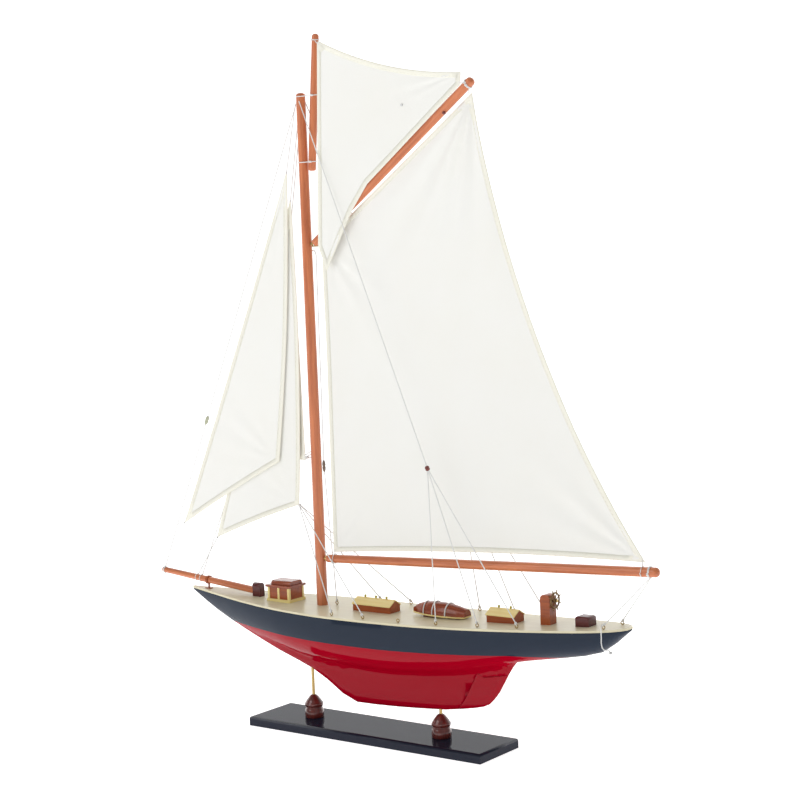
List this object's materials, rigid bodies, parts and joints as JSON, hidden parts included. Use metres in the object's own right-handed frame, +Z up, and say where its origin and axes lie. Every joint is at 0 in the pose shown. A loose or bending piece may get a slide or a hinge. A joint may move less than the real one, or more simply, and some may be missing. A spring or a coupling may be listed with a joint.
{
  "type": "display sailing yacht",
  "caption": "Gaff-rigged wooden display yacht on a two-post stand; the hull lifts off its pins, and boom, rudder and wheel turn.",
  "frame": {"origin": "centre of the underside of the stand board", "axes": "+Z up along the mast, -X towards the bow, +Y to starboard"},
  "size_m": [0.6107, 0.092, 0.6953],
  "materials": {
    "base_lacquer": "deep navy-black gloss lacquer on wood",
    "post_wood": "turned hardwood, dark reddish-brown gloss varnish",
    "brass": "polished brass",
    "steel": "plain steel",
    "hull_paint": "gloss paint, slate navy topsides over crimson bottom",
    "rudder_paint": "gloss crimson paint",
    "deck_wood": "pale cream wood, satin varnish",
    "mahogany": "dark mahogany, satin varnish",
    "panel_wood": "orange-brown panel wood, satin varnish",
    "cream_trim": "cream-coloured wood trim",
    "boat_wood": "mahogany, gloss varnish",
    "spar_wood": "varnished orange-brown wood",
    "thread": "white twisted thread",
    "sail_cloth": "ivory cotton cloth with sewn hems",
    "bead_wood": "small turned wooden beads"
  },
  "bodies": {
    "stand": {"stand_board": "base_lacquer", "front_post": "post_wood", "aft_post": "post_wood", "stand_screws": "steel", "front_pin": "brass", "aft_pin": "brass"},
    "hull": {"hull": "hull_paint", "rudder_stock": "brass", "deck": "deck_wood", "bitt_post": "mahogany", "bowsprit": "spar_wood", "gammon_iron": "brass", "deckhouse_plinth": "cream_trim", "deckhouse_posts": "cream_trim", "deckhouse_walls": "panel_wood", "deckhouse_roof": "mahogany", "skylight_forward_box": "panel_wood", "skylight_forward_roof": "cream_trim", "skylight_forward_knobs": "brass", "skylight_aft_box": "panel_wood", "skylight_aft_roof": "cream_trim", "skylight_aft_knobs": "brass", "lifeboat_hull": "boat_wood", "lifeboat_gunwale": "cream_trim", "lifeboat_chocks": "mahogany", "lifeboat_lashing": "thread", "wheel_pedestal": "panel_wood", "wheel_axle": "brass", "aft_hatch": "mahogany", "deck_eyes": "brass", "mast": "spar_wood", "mast_eyes": "brass", "topmast": "spar_wood", "topmast_head_lashing": "thread", "mast_lashings": "thread", "jib": "sail_cloth", "staysail": "sail_cloth", "inner_jib": "sail_cloth", "line_beads": "bead_wood", "forestay": "thread", "headsail_halyards": "thread", "inner_jib_tie": "thread", "headsail_sheets": "thread", "pendants": "thread", "pendant_legs": "thread", "halyard": "thread", "mainsheet": "thread", "sheet_tail": "thread"},
    "rudder": {"rudder": "rudder_paint"},
    "wheel": {"ships_wheel": "brass"},
    "main_rig": {"boom": "spar_wood", "gaff": "spar_wood", "rig_pins": "brass", "boom_lashing": "thread", "gaff_lashing": "thread", "mainsail": "sail_cloth", "topsail": "sail_cloth", "sail_ties": "thread", "gaff_bead": "bead_wood", "topsail_grommet": "steel"}
  },
  "joints": [
    {"name": "hull_lift", "type": "slide", "parent": "stand", "child": "hull", "axis": [0, 0, 1], "range_m": [0, 0.03]},
    {"name": "boom_swing", "type": "hinge", "parent": "hull", "child": "main_rig", "pos_m": [-0.058, 0, 0.1748], "axis": [0, 0, 1], "range_deg": [-4, 4]},
    {"name": "rudder_turn", "type": "hinge", "parent": "hull", "child": "rudder", "pos_m": [0.105, 0, 0.04], "axis": [0.5112, 0, 0.8595], "range_deg": [-20, 20]},
    {"name": "wheel_spin", "type": "hinge", "parent": "hull", "child": "wheel", "pos_m": [0.21285, 0, 0.15533], "axis": [1, 0, 0], "continuous": true}
  ]
}
